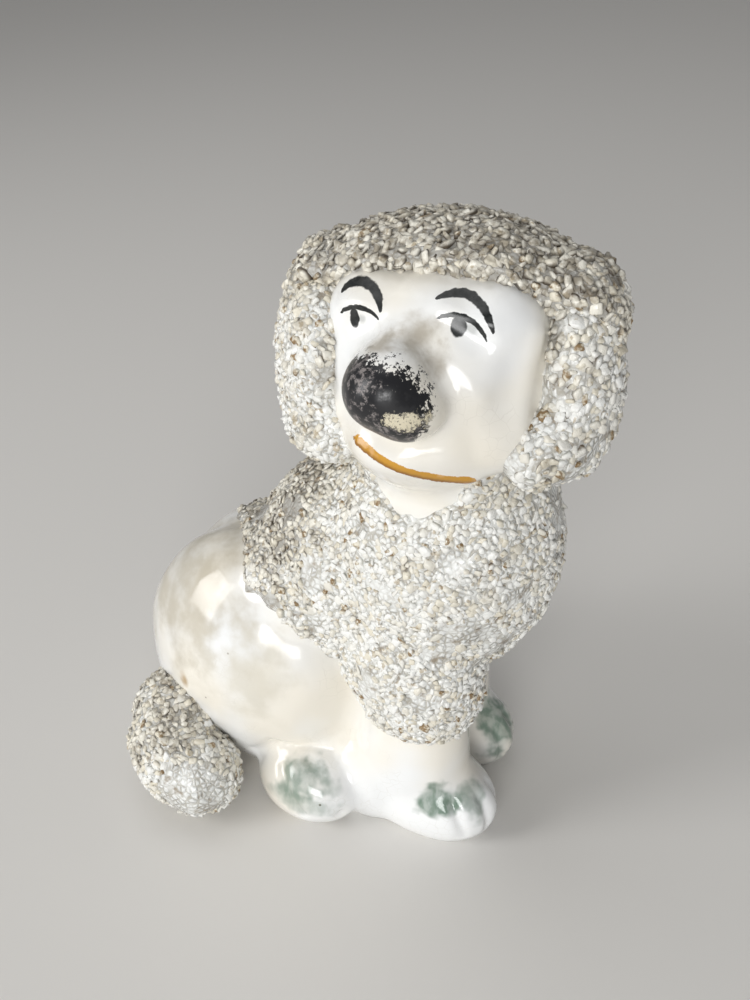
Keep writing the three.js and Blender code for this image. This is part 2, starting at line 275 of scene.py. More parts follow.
def mixed(tree, amount, first, second):
    """Two colours mixed."""
    made = tree.nodes.new("ShaderNodeMix")
    made.data_type = "RGBA"
    for key, value in ((0, amount), (6, first), (7, second)):
        if isinstance(value, bpy.types.NodeSocket):
            tree.links.new(value, made.inputs[key])
        else:
            made.inputs[key].default_value = value
    return made.outputs[2]


def new_group(name, inputs, outputs):
    """An empty node group with its sockets, and its input and output nodes."""
    tree = bpy.data.node_groups.new(name, "ShaderNodeTree")
    for direction, sockets in (("INPUT", inputs), ("OUTPUT", outputs)):
        for socket, kind in sockets:
            tree.interface.new_socket(socket, in_out=direction, socket_type="NodeSocket" + kind)
    return tree, tree.nodes.new("NodeGroupInput").outputs, tree.nodes.new("NodeGroupOutput").inputs


WARM_WHITE = (0.82, 0.78, 0.69, 1)
COOL_WHITE = (0.83, 0.84, 0.84, 1)
CRAZE_BROWN = (0.56, 0.53, 0.46, 1)
SPECK_BROWN = (0.16, 0.12, 0.09, 1)


def glaze_group():
    """Old white glaze: warm and cool drifts, fine crazing, specks, and a surface that wavers."""
    inputs = [("Vector", "Vector"), ("Warm", "Color"), ("Cool", "Color"), ("Crazing", "Float")]
    outputs = [("Color", "Color"), ("Height", "Float"), ("Roughness", "Float")]
    tree, given, out = new_group("old_glaze", inputs, outputs)
    where = given["Vector"]
    drift = ramp(tree, noise_at(tree, where, 16, 2), 0.35, 0.65)
    color = mixed(tree, drift, given["Warm"], given["Cool"])
    wander = add(tree, "ShaderNodeTexNoise", {"Vector": where, "Scale": 700.0}).outputs["Color"]
    small = add(tree, "ShaderNodeVectorMath", {0: wander, "Scale": 0.0006}, operation="SCALE").outputs[0]
    bent = vector_math(tree, "ADD", where, small)
    cells = add(tree, "ShaderNodeTexVoronoi", {"Vector": bent, "Scale": 640.0}, feature="DISTANCE_TO_EDGE")
    line = ramp(tree, cells.outputs["Distance"], 0.0, 0.035, 1.0, 0.0)
    patchy = ramp(tree, noise_at(tree, where, 7), 0.5, 0.62)
    craze = math_of(tree, "MULTIPLY", math_of(tree, "MULTIPLY", line, patchy), given["Crazing"])
    color = mixed(tree, craze, color, CRAZE_BROWN)
    dots = add(tree, "ShaderNodeTexVoronoi", {"Vector": where, "Scale": 260.0})
    speck = ramp(tree, dots.outputs["Distance"], 0.03, 0.07, 1.0, 0.0)
    drawn = add(tree, "ShaderNodeSeparateColor", {0: dots.outputs["Color"]}).outputs[0]
    chance = ramp(tree, drawn, 0.82, 0.83)
    color = mixed(tree, math_of(tree, "MULTIPLY", speck, chance), color, SPECK_BROWN)
    tree.links.new(color, out["Color"])
    height = math_of(tree, "ADD", noise_at(tree, where, 5, 2), math_of(tree, "MULTIPLY", craze, -0.03))
    tree.links.new(height, out["Height"])
    tree.links.new(ramp(tree, noise_at(tree, where, 4, 4), 0.3, 0.8, 0.09, 0.2), out["Roughness"])
    return tree


OLD_GLAZE = glaze_group()


def new_material(name):
    """A material, its tree, its object coordinates and its Principled shader."""
    paint = bpy.data.materials.new(name)
    paint.use_nodes = True
    tree = paint.node_tree
    coordinates = tree.nodes.new("ShaderNodeTexCoord").outputs["Object"]
    return paint, tree, coordinates, tree.nodes["Principled BSDF"]


def glazed(tree, coordinates, warm, cool, crazing=0.22):
    """The old glaze placed in a material."""
    made = tree.nodes.new("ShaderNodeGroup")
    made.node_tree = OLD_GLAZE
    tree.links.new(coordinates, made.inputs["Vector"])
    made.inputs["Warm"].default_value = warm
    made.inputs["Cool"].default_value = cool
    made.inputs["Crazing"].default_value = crazing
    return made.outputs


def finish_glaze(tree, surface, color, height, roughness, strength=0.12, distance=0.4):
    """The glossy shader round the colour, the height and the roughness."""
    bump = add(tree, "ShaderNodeBump", {"Strength": strength, "Distance": distance * MM, "Height": height})
    tree.links.new(color, surface.inputs["Base Color"])
    tree.links.new(roughness, surface.inputs["Roughness"])
    tree.links.new(bump.outputs["Normal"], surface.inputs["Normal"])
    surface.inputs["Coat Weight"].default_value = 0.4
    surface.inputs["Coat Roughness"].default_value = 0.1


def stroke_group():
    """One arc of a brush round its own origin, thick in the middle and thin at the ends."""
    inputs = [(name, "Float") for name in ("Radius", "Middle", "Half Angle", "Width")]
    tree, given, out = new_group("brush_arc", [("Vector", "Vector")] + inputs, [("Mask", "Float")])
    parts = add(tree, "ShaderNodeSeparateXYZ", {0: given["Vector"]}).outputs
    flat = add(tree, "ShaderNodeCombineXYZ", {0: parts["X"], 1: parts["Z"]}).outputs[0]
    out_by = add(tree, "ShaderNodeVectorMath", {0: flat}, operation="LENGTH").outputs["Value"]
    angle = math_of(tree, "ARCTAN2", parts["Z"], parts["X"])
    along = math_of(tree, "DIVIDE", math_of(tree, "SUBTRACT", angle, given["Middle"]), given["Half Angle"])
    squared = math_of(tree, "MULTIPLY", along, along)
    left = math_of(tree, "MAXIMUM", math_of(tree, "SUBTRACT", 1.0, squared), 0.0001)
    width = math_of(tree, "MULTIPLY", math_of(tree, "POWER", left, 0.45), given["Width"])
    off = math_of(tree, "ABSOLUTE", math_of(tree, "SUBTRACT", out_by, given["Radius"]))
    touched = ramp(tree, math_of(tree, "DIVIDE", off, width), 0.8, 1.1, 1.0, 0.0)
    inside = math_of(tree, "GREATER_THAN", left, 0.001)
    tree.links.new(math_of(tree, "MULTIPLY", touched, inside), out["Mask"])
    return tree


BRUSH_ARC = stroke_group()


def body_millimetres(tree, where):
    """Millimetres from the point on the ground under the hip."""
    return add(tree, "ShaderNodeMapping", {
        "Vector": where, "Scale": (1 / MM,) * 3, "Location": -HIP,
    }).outputs[0]


def head_millimetres(tree, where):
    """The head's own millimetres, with the little waver of a painter's hand."""
    back = HEAD.inverted()
    local = add(tree, "ShaderNodeMapping", {
        "Vector": where, "Scale": (1 / MM,) * 3, "Rotation": back.to_euler(), "Location": back.translation,
    }).outputs[0]
    waver = add(tree, "ShaderNodeTexNoise", {"Vector": local, "Scale": 1.6, "Detail": 3.0}).outputs["Color"]
    centred = vector_math(tree, "SUBTRACT", waver, (0.5, 0.5, 0.5))
    small = add(tree, "ShaderNodeVectorMath", {0: centred, "Scale": 0.35}, operation="SCALE").outputs[0]
    return vector_math(tree, "ADD", local, small)


def spot(tree, where, centre, half_sizes):
    """How far out from an oval's centre a place is: one is the oval's edge."""
    placed = add(tree, "ShaderNodeMapping", {
        "Vector": where, "Location": centre, "Scale": half_sizes,
    }, vector_type="TEXTURE").outputs[0]
    return add(tree, "ShaderNodeVectorMath", {0: placed}, operation="LENGTH").outputs["Value"]


def arc(tree, where, centre, radius, middle, half_angle, width):
    """The mask of one arc of the brush, in the flat of the face."""
    made = tree.nodes.new("ShaderNodeGroup")
    made.node_tree = BRUSH_ARC
    tree.links.new(vector_math(tree, "SUBTRACT", where, (centre[0], 0, centre[1])), made.inputs["Vector"])
    values = {
        "Radius": radius, "Middle": math.radians(middle),
        "Half Angle": math.radians(half_angle), "Width": width,
    }
    for key, value in values.items():
        made.inputs[key].default_value = value
    return made.outputs["Mask"]


# ---- the paint on the face, in the head's millimetres. ANY_DEPTH takes an oval right through the head ----
ANY_DEPTH = 1e6
BROWS = [((-8.0, 7.8), 3.0, 76, 74, 0.54), ((3.5, 5.75), 4.75, 64, 54, 0.49)]
LASHES = [((-7.7, 4.75), 3.5, 91, 49, 0.31), ((3.65, 4.35), 4.05, 68, 50, 0.34)]
PUPILS = [((-8.35, 0, 6.9), (0.68, ANY_DEPTH, 1.3)), ((4.25, 0, 7.2), (0.95, ANY_DEPTH, 1.25))]
EYE_WASHES = [((5.6, 0, 6.9), (1.0, ANY_DEPTH, 0.9)), ((-7.4, 0, 6.9), (0.6, ANY_DEPTH, 0.6))]
# painted shadow beside the nose bridge, laid with a grey-brown smudge of the glaze
BRIDGE_SHADOW_AND_SMUDGE = [
    ((-0.2, -13, 6.2), (3.2, 4, 2.6)), ((-3.8, -15, 5.8), (2.6, 4, 1.8)), ((2.4, -14, 3.6), (1.6, 4, 2.4)),
]
MUZZLE_PATCH = ((-4.3, -18.4, -0.9), (7.5, 6.6, 5.6))
SOLID_BLACK = ((1.0, 0, 0.8), (4.2, ANY_DEPTH, 3.6))
WORN_CREAM = ((0.9, 0, -1.5), (2.3, ANY_DEPTH, 1.2))
UNDER_HAIR_GREY = (0.50, 0.46, 0.37, 1)
# the brown of the painted shadow and smudge by the nose bridge
SHADOW_AND_SMUDGE_BROWN = (0.36, 0.31, 0.23, 1)
WASH_GREY = (0.20, 0.22, 0.21, 1)
LINE_BLACK = (0.006, 0.008, 0.008, 1)
BLACK = (0.012, 0.012, 0.014, 1)
THIN_BLACK = (0.30, 0.27, 0.26, 1)
BARE_CREAM = (0.66, 0.60, 0.45, 1)
PIT_BROWN = (0.10, 0.08, 0.06, 1)
OCHRE = (0.57, 0.29, 0.035, 1)
DARK_OCHRE = (0.16, 0.055, 0.01, 1)
PALE_OCHRE = (0.72, 0.45, 0.22, 1)
COLLAR_TILT = 0.355
COLLAR_BOW = 0.014
COLLAR_DROP = -9.98
COLLAR_MIDDLE = -0.3
COLLAR_HALF_LENGTH = 6.9
COLLAR_HALF_WIDTH = 0.68


def painted_lines(tree, local):
    """The mask of the brows, the lashes and the pupils."""
    masks = [arc(tree, local, *line) for line in BROWS + LASHES]
    masks += [ramp(tree, spot(tree, local, *eye), 0.85, 1.05, 1.0, 0.0) for eye in PUPILS]
    line = masks[0]
    for mask in masks[1:]:
        line = math_of(tree, "MAXIMUM", line, mask)
    return line


def muzzle_black(tree, where, local, rough_edge, flaked):
    """The black of the muzzle: grey where it has flaked thin, and worn to the cream clay at one spot."""
    solid_out = math_of(tree, "ADD", spot(tree, local, *SOLID_BLACK), rough_edge)
    solid = ramp(tree, solid_out, 0.8, 1.2, 1.0, 0.0)
    thin = math_of(tree, "MULTIPLY", flaked, math_of(tree, "SUBTRACT", 1.0, solid))
    black = mixed(tree, math_of(tree, "MULTIPLY", thin, 0.75), BLACK, THIN_BLACK)
    worn_edge = math_of(tree, "MULTIPLY", rough_edge, 1.6)
    worn_out = math_of(tree, "ADD", spot(tree, local, *WORN_CREAM), worn_edge)
    cream = ramp(tree, worn_out, 0.65, 1.05, 1.0, 0.0)
    pits = ramp(tree, noise_at(tree, where, 0.35, 3, 0.7), 0.54, 0.62, 0.0, 0.85)
    return mixed(tree, cream, black, mixed(tree, pits, BARE_CREAM, PIT_BROWN))


def collar_line(tree, where, parts, rough_edge, fine):
    """The collar line across the throat, as a mask and a colour. It is tattered at its near end."""
    height = math_of(tree, "ADD", parts["Z"], math_of(tree, "MULTIPLY", parts["X"], COLLAR_TILT))
    squared = math_of(tree, "MULTIPLY", parts["X"], parts["X"])
    bow = math_of(tree, "MULTIPLY", squared, -COLLAR_BOW)
    off = math_of(tree, "ADD", math_of(tree, "SUBTRACT", height, COLLAR_DROP), bow)
    off = math_of(tree, "DIVIDE", off, COLLAR_HALF_WIDTH)
    along = math_of(tree, "ABSOLUTE", math_of(tree, "SUBTRACT", parts["X"], COLLAR_MIDDLE))
    wear = math_of(tree, "MULTIPLY", rough_edge, ramp(tree, parts["X"], -4, -2, 2.2, 0.2))
    tattered = math_of(tree, "ADD", along, wear)
    ends = math_of(tree, "MAXIMUM", math_of(tree, "SUBTRACT", tattered, COLLAR_HALF_LENGTH - 0.5), 0.0)
    reach = add(tree, "ShaderNodeCombineXYZ", {0: off, 1: math_of(tree, "MULTIPLY", ends, 1.6)}).outputs[0]
    distance = add(tree, "ShaderNodeVectorMath", {0: reach}, operation="LENGTH").outputs["Value"]
    edge = math_of(tree, "ADD", distance, math_of(tree, "MULTIPLY", fine, 0.5))
    band = ramp(tree, edge, 0.88, 1.05, 1.0, 0.0)
    front = ramp(tree, parts["Y"], -7.0, -6.0, 1.0, 0.0)
    pooled = ramp(tree, off, -0.9, 0.2, 0.75, 0.0)
    ochre = mixed(tree, pooled, OCHRE, DARK_OCHRE)
    pale = ramp(tree, noise_at(tree, where, 2.4, 3), 0.55, 0.7, 0.0, 0.6)
    return math_of(tree, "MULTIPLY", band, front), mixed(tree, pale, ochre, PALE_OCHRE)


def face_paint():
    """White glaze with painted brows, lashes and eyes, a worn black muzzle, and the ochre collar line."""
    paint, tree, where, surface = new_material("painted_face")
    glaze = glazed(tree, where, WARM_WHITE, COOL_WHITE)
    local = head_millimetres(tree, where)
    parts = add(tree, "ShaderNodeSeparateXYZ", {0: local}).outputs
    clotted = ramp(tree, noise_at(tree, where, 4, 4), 0.3, 0.6)
    under_hair = math_of(tree, "MULTIPLY", ramp(tree, parts["Z"], 8.0, 13.5), clotted)
    color = mixed(tree, math_of(tree, "MULTIPLY", under_hair, 0.6), glaze["Color"], UNDER_HAIR_GREY)
    cloudy = ramp(tree, noise_at(tree, where, 2, 4), 0.25, 0.75, -0.3, 0.3)
    # painted shadow and grey-brown smudge beside the nose bridge
    for shade in BRIDGE_SHADOW_AND_SMUDGE:
        blurred = math_of(tree, "ADD", spot(tree, local, *shade), cloudy)
        color = mixed(tree, ramp(tree, blurred, 0.1, 1.2, 0.7, 0.0), color, SHADOW_AND_SMUDGE_BROWN)
    for wash in EYE_WASHES:
        color = mixed(tree, ramp(tree, spot(tree, local, *wash), 0.4, 1.2, 0.4, 0.0), color, WASH_GREY)
    line = painted_lines(tree, local)
    streak = ramp(tree, noise_at(tree, where, 0.8, 4), 0.3, 0.7, 0.97, 1.0)
    color = mixed(tree, math_of(tree, "MULTIPLY", line, streak), color, LINE_BLACK)
    coarse = ramp(tree, noise_at(tree, where, 1.6, 4), 0.25, 0.75, -0.2, 0.2)
    fine = ramp(tree, noise_at(tree, where, 0.45, 3, 0.7), 0.25, 0.75, -0.2, 0.2)
    rough_edge = math_of(tree, "ADD", coarse, fine)
    ragged_top = math_of(tree, "MULTIPLY", rough_edge, ramp(tree, parts["Z"], -2.0, 3.0, 0.25, 0.8))
    patch_out = math_of(tree, "ADD", spot(tree, local, *MUZZLE_PATCH), ragged_top)
    patch = ramp(tree, patch_out, 0.97, 1.03, 1.0, 0.0)
    flaked = ramp(tree, noise_at(tree, where, 0.9, 6, 0.75), 0.50, 0.60)
    color = mixed(tree, patch, color, muzzle_black(tree, where, local, rough_edge, flaked))
    collar, ochre = collar_line(tree, where, parts, rough_edge, fine)
    color = mixed(tree, collar, color, ochre)
    worn = math_of(tree, "MULTIPLY", patch, ramp(tree, flaked, 0, 1, 0.2, 0.5))
    worn = math_of(tree, "ADD", worn, math_of(tree, "MULTIPLY", line, 0.12))
    finish_glaze(tree, surface, color, glaze["Height"], math_of(tree, "ADD", glaze["Roughness"], worn))
    surface.inputs["Coat Weight"].default_value = 0.15
    surface.inputs["Specular IOR Level"].default_value = 0.4
    return paint


# ---- washes on the paws, and stains and painted shade on the haunch, in millimetres from the hip ----
GREENS = [
    ((14.6, -18.6, 8.4), (5.0, 3.6, 4.4), 0.75), ((14.6, 18.6, 8.4), (5.0, 3.6, 4.4), 0.75),
    ((16.4, -20.6, 5.4), (6.4, 3.0, 2.2), 0.5), ((16.4, 20.6, 5.4), (6.4, 3.0, 2.2), 0.5),
    ((33.8, -12.6, 8.2), (3.9, 3.4, 3.3), 1.0), ((37.2, -9.4, 7.4), (2.8, 2.6, 4.6), 0.65),
    ((34.0, 7.0, 7.0), (4.6, 5.0, 6.0), 0.95),
]
PAW_GREEN = (0.15, 0.22, 0.17, 1)
# the two large ovals darken the haunch, partly a cream stain and partly painted shade; the small one is a
# brown stain
HAUNCH_STAINS_AND_SHADE = [
    ((-8, -12, 32), (17, 17, 15), (0.47, 0.42, 0.32, 1), 0.8),
    ((6, -20, 25), (8, 8, 9), (0.60, 0.56, 0.46, 1), 0.65),
    ((-5.1, -20.5, 19.6), (1.2, 3, 2.0), (0.42, 0.26, 0.10, 1), 0.75),
]


def paw_paint():
    """White glaze with a green wash brushed over the toes."""
    paint, tree, where, surface = new_material("paw_glaze")
    glaze = glazed(tree, where, WARM_WHITE, COOL_WHITE)
    color = glaze["Color"]
    local = body_millimetres(tree, where)
    drawn_down = add(tree, "ShaderNodeMapping", {"Vector": where, "Scale": (1.0, 1.0, 0.35)}).outputs[0]
    brushed = ramp(tree, noise_at(tree, drawn_down, 1.4, 3), 0.3, 0.62, 0.65, 1.0)
    edge = ramp(tree, noise_at(tree, where, 3.0, 2), 0.25, 0.75, -0.3, 0.3)
    for centre, sizes, strength in GREENS:
        far_out = math_of(tree, "ADD", spot(tree, local, centre, sizes), edge)
        wash = math_of(tree, "MULTIPLY", ramp(tree, far_out, 0.55, 1.1, strength, 0.0), brushed)
        color = mixed(tree, wash, color, PAW_GREEN)
    finish_glaze(tree, surface, color, glaze["Height"], glaze["Roughness"])
    return paint


def white_glaze():
    """White glaze on the near haunch, darkened by brown stains and by painted shade."""
    paint, tree, where, surface = new_material("white_glaze")
    glaze = glazed(tree, where, WARM_WHITE, COOL_WHITE)
    local = body_millimetres(tree, where)
    cloudy = ramp(tree, noise_at(tree, where, 5, 4), 0.25, 0.75, -0.35, 0.35)
    color = glaze["Color"]
    # brown stains and painted shade on the haunch
    for centre, sizes, brown, strength in HAUNCH_STAINS_AND_SHADE:
        away = math_of(tree, "ADD", spot(tree, local, centre, sizes), cloudy)
        color = mixed(tree, ramp(tree, away, 0.2, 1.1, strength, 0.0), color, brown)
    finish_glaze(tree, surface, color, glaze["Height"], glaze["Roughness"])
    return paint


CLAY_PALE = (0.66, 0.58, 0.45, 1)
CLAY_DARK = (0.50, 0.42, 0.31, 1)
CLAY_SMEAR = (0.80, 0.77, 0.70, 1)


def biscuit():
    """Bare fired clay under the foot, smeared with glaze here and there."""
    paint, tree, where, surface = new_material("biscuit")
    smeared = ramp(tree, noise_at(tree, where, 6, 4), 0.5, 0.6)
    mottle = ramp(tree, noise_at(tree, where, 1.2, 5), 0.3, 0.7)
    color = mixed(tree, mottle, CLAY_PALE, CLAY_DARK)
    color = mixed(tree, smeared, color, CLAY_SMEAR)
    grain = add(tree, "ShaderNodeBump", {
        "Strength": 0.4, "Distance": 0.2 * MM, "Height": noise_at(tree, where, 0.4, 5),
    })
    tree.links.new(color, surface.inputs["Base Color"])
    tree.links.new(ramp(tree, smeared, 0, 1, 0.85, 0.25), surface.inputs["Roughness"])
    tree.links.new(grain.outputs["Normal"], surface.inputs["Normal"])
    return paint


SHRED_WHITE = (0.84, 0.84, 0.81, 1)
SHRED_CREAM = (0.74, 0.69, 0.57, 1)
SHRED_WARM = (0.80, 0.75, 0.62, 1)
TOASTED_BROWN = (0.40, 0.31, 0.18, 1)
BURNT_BROWN = (0.24, 0.15, 0.06, 1)
SOOTY_BROWN = (0.22, 0.18, 0.12, 1)
# the colours low between the shreds: grey painted shade, and brown and near black where dirt lies in the
# shade
GAP_SHADE_GREY = (0.50, 0.50, 0.45, 1)
GAP_DIRT_AND_SHADE_BROWN = (0.13, 0.085, 0.04, 1)
GAP_DIRT_AND_SHADE_BLACK = (0.05, 0.035, 0.02, 1)


def shred_glaze():
    """Glazed shreds, each with its own tone, darkened towards their roots by painted shade and by brown and
    black dirt in the gaps.
    """
    paint, tree, where, surface = new_material("shred_glaze")
    tone, rise, soot = (attribute(tree, name) for name in ("tone", "rise", "soot"))
    color = mixed(tree, ramp(tree, tone, 0.45, 1.0), SHRED_WHITE, SHRED_CREAM)
    color = mixed(tree, ramp(tree, soot, 0.02, 0.4, 0.0, 0.6), color, SHRED_WARM)
    toasted = ramp(tree, noise_at(tree, where, 1.1, 3), 0.60, 0.68, 0.0, 0.7)
    color = mixed(tree, toasted, color, TOASTED_BROWN)
    scorched = ramp(tree, noise_at(tree, where, 0.6, 3), 0.4, 0.6)
    burnt = math_of(tree, "MULTIPLY", ramp(tree, tone, 0.95, 0.96), scorched)
    color = mixed(tree, burnt, color, BURNT_BROWN)
    uneven = ramp(tree, noise_at(tree, where, 1.2, 3), 0.38, 0.66, 0.0, 0.8)
    color = mixed(tree, math_of(tree, "MULTIPLY", soot, uneven), color, SOOTY_BROWN)
    stained = ramp(tree, noise_at(tree, where, 2.2, 3), 0.5, 0.6)
    # the gap colour: painted shade in grey, brown where stained, near black where sooty
    dirt = mixed(tree, stained, GAP_SHADE_GREY, GAP_DIRT_AND_SHADE_BROWN)
    dirt = mixed(tree, soot, dirt, GAP_DIRT_AND_SHADE_BLACK)
    # painted shade between the shreds: each shred darkens towards its root, and further up where it is sooty
    low = math_of(tree, "ADD", rise, ramp(tree, soot, 0, 1, 0.0, -0.22))
    color = mixed(tree, ramp(tree, low, 0.25, 0.75, 0.95, 0.0), color, dirt)
    rough_skin = noise_at(tree, where, 0.45, 4, 0.65)
    finish_glaze(tree, surface, color, rough_skin, ramp(tree, tone, 0, 1, 0.15, 0.4), 0.7, 0.25)
    return paint


GROUND_WHITE = (0.80, 0.81, 0.79, 1)
GROUND_SEAM = (0.34, 0.31, 0.25, 1)
GROUND_STAIN = (0.22, 0.16, 0.09, 1)
GROUND_SOOT = (0.16, 0.13, 0.085, 1)


def ground_glaze():
    """The glazed clay that the shreds are stuck in."""
    paint, tree, where, surface = new_material("ground_glaze")
    soot = attribute(tree, "soot")
    stained = ramp(tree, noise_at(tree, where, 1.8, 4), 0.56, 0.7)
    grains = add(tree, "ShaderNodeTexVoronoi", {"Vector": where, "Scale": 1150.0}, feature="DISTANCE_TO_EDGE")
    seam = ramp(tree, grains.outputs["Distance"], 0.02, 0.2, 1.0, 0.0)
    patchy = ramp(tree, noise_at(tree, where, 2.4, 3), 0.35, 0.6, 0.25, 1.0)
    seam = math_of(tree, "MULTIPLY", seam, patchy)
    color = mixed(tree, math_of(tree, "MULTIPLY", seam, 0.75), GROUND_WHITE, GROUND_SEAM)
    color = mixed(tree, math_of(tree, "MULTIPLY", stained, 0.7), color, GROUND_STAIN)
    color = mixed(tree, math_of(tree, "MULTIPLY", soot, 0.6), color, GROUND_SOOT)
    swell = math_of(tree, "MULTIPLY", ramp(tree, grains.outputs["Distance"], 0.0, 0.35), patchy)
    height = math_of(tree, "ADD", swell, math_of(tree, "MULTIPLY", noise_at(tree, where, 0.7, 3), 0.6))
    finish_glaze(tree, surface, color, height, ramp(tree, stained, 0, 1, 0.15, 0.4), 0.8, 0.3)
    return paint


WHITE = white_glaze()
FACE = face_paint()
PAWS = paw_paint()
BISCUIT = biscuit()
SHRED = shred_glaze()
GROUND = ground_glaze()


# ================= the smooth skin and its pieces =================

SKIN_VOXEL = 0.45
SKIN_ROUNDS = 24
WALL = 1.6

# ---- where the skin is parted, in millimetres from the hip ----
LEG_TOP = 20.0
LEG_BACK = 18.5
PAW_FRONT = 22.0
PAW_REAR = 4.5
PAW_TOP = 11.5
PAW_SIDE = 12.5
NECK_LEAST = 50
NECK_CUT = (in_head(0, 0, -13.4).translation, HEAD.to_3x3() @ Vector((0.36, 0.0, 1.0)).normalized())


def piece_of(point):
    """The name of the piece that this spot of the skin belongs to."""
    p = point - HIP
    if (point - NECK_CUT[0]).dot(NECK_CUT[1]) > 0 and p.z > NECK_LEAST:
        return "head_face" if (HEAD.inverted() @ point).y < 0 else "head_back"
    side = "near" if p.y < 0 else "far"
    if p.z < PAW_TOP and PAW_REAR < p.x < PAW_FRONT and abs(p.y) > PAW_SIDE:
        return side + "_hind_paw"
    if p.z < LEG_TOP and p.x > LEG_BACK:
        return side + "_foreleg"
    return "body_" + side


def modelled_skin():
    """One smooth skin of body, legs, paws and head, open under the foot where the slab closes it."""
    bm = fused(BODY_MASSES + ARM_MASSES + HEAD_MASSES + LEG_MASSES, SKIN_VOXEL, SKIN_ROUNDS)
    bm.normal_update()
    press(bm, TOOL_MARKS)
    press(bm, TOE_GROOVES, GROOVES_UNDER)
    bm.normal_update()
    for v in bm.verts:  # the unevenness of pressed clay
        v.co += v.normal * (noise.noise(v.co / 9) * 0.35 + noise.noise(v.co / 3.5) * 0.08)
    rim = cut(bm, (0, 0, 0), (0, 0, -1), clear=True)
    low, high = (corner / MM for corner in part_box("foot_slab"))
    ring_place = Matrix.Translation(((low.x + high.x) / 2, (low.y + high.y) / 2, 0))
    ring_size = Matrix.Diagonal(((high.x - low.x) / 2 + 0.3, (high.y - low.y) / 2 + 0.3, 1, 1))
    ring = bmesh.ops.create_circle(bm, cap_ends=False, segments=64, radius=1, matrix=ring_place @ ring_size)
    rim += list({e for v in ring["verts"] for e in v.link_edges})
    bmesh.ops.triangle_fill(bm, use_beauty=True, edges=rim)
    bmesh.ops.recalc_face_normals(bm, faces=bm.faces)
    seams = [
        (NECK_CUT[0], NECK_CUT[1]),
        (HEAD.translation, HEAD.to_3x3() @ Vector((0, 1, 0))),
        (HIP, (0, 1, 0)),
        (HIP + Vector((0, 0, LEG_TOP)), (0, 0, 1)),
        (HIP + Vector((0, 0, PAW_TOP)), (0, 0, 1)),
        (HIP + Vector((LEG_BACK, 0, 0)), (1, 0, 0)),
        (HIP + Vector((PAW_FRONT, 0, 0)), (1, 0, 0)),
        (HIP + Vector((PAW_REAR, 0, 0)), (1, 0, 0)),
        (HIP + Vector((0, -PAW_SIDE, 0)), (0, 1, 0)),
        (HIP + Vector((0, PAW_SIDE, 0)), (0, 1, 0)),
    ]
    for point, normal in seams:
        cut(bm, point, normal)
    return bm


def split_skin(bm):
    """The skin parted into its pieces, each a wall of clay under its own glaze."""
    nodes = {
        "head_face": "head_face_half", "head_back": "head_back_half",
        "body_near": "body_near_half", "body_far": "body_far_half",
    }
    for limb in ("foreleg", "hind_paw"):
        nodes.update({f"{side}_{limb}": f"{limb}_{side}" for side in ("near", "far")})
    bm.faces.ensure_lookup_table()
    owners = [piece_of(f.calc_center_median()) for f in bm.faces]
    for name, node in nodes.items():
        part = bm.copy()
        part.faces.ensure_lookup_table()
        others = [f for f, owner in zip(part.faces, owners) if owner != name]
        bmesh.ops.delete(part, geom=others, context="FACES")
        for f in part.faces:
            f.smooth = True
        for e in part.edges:
            e.smooth = not e.is_boundary
        piece = new_object(name, part)
        wall = piece.modifiers.new("wall", "SOLIDIFY")
        wall.thickness = WALL * MM
        wall.offset = -1
        if name == "head_face":
            finish, slot = FACE, "painted_face"
        elif name.endswith(("foreleg", "hind_paw")):
            finish, slot = PAWS, "paw_glaze"
        else:
            finish, slot = WHITE, "white_glaze"
        piece.data.materials.append(finish)
        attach(piece, "root")
        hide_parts(node)
    bm.free()


split_skin(modelled_skin())


# ================= coats of shreds =================

def smooth_step(low, high, value):
    """Zero at `low`, one at `high`, and an easy curve between."""
    t = min(max((value - low) / (high - low), 0.0), 1.0)
    return t * t * (3 - 2 * t)


CRUMB_SINK = 0.12
CRUMB_TILT = 0.5
CRUMB_LEAST = (0.6, 0.6, 0.5)
CRUMB_MOST = (1.45, 1.3, 1.1)


def chip(name, rng):
    """One broken crumb of clay, about one unit across, that carries how high each corner rises."""
    bm = bmesh.new()
    bmesh.ops.create_cube(bm, size=0.75)
    for v in bm.verts:
        v.co = Vector([c * rng.uniform(0.4, 1.45) for c in v.co])
    bmesh.ops.bevel(
        bm, geom=bm.edges, offset=0.13, segments=1, profile=0.5,
        affect="EDGES", material=-1, clamp_overlap=True,
    )
    rise = bm.verts.layers.float.new("rise")
    low = min(v.co.z for v in bm.verts)
    high = max(v.co.z for v in bm.verts)
    for v in bm.verts:
        v[rise] = (v.co.z - low) / (high - low)
    bmesh.ops.translate(bm, vec=(0, 0, -CRUMB_SINK), verts=bm.verts)
    bmesh.ops.recalc_face_normals(bm, faces=bm.faces)
    for f in bm.faces:
        f.smooth = True
    mesh = bpy.data.meshes.new(name)
    bm.to_mesh(mesh)
    bm.free()
    mesh.materials.append(SHRED)
    return bpy.data.objects.new(name, mesh)


def chip_box(count, seed):
    """A collection of different crumbs to pick from."""
    rng = random.Random(seed)
    box = bpy.data.collections.new("crumbs")
    for i in range(count):
        box.objects.link(chip(f"crumb_{i}", rng))
    return box


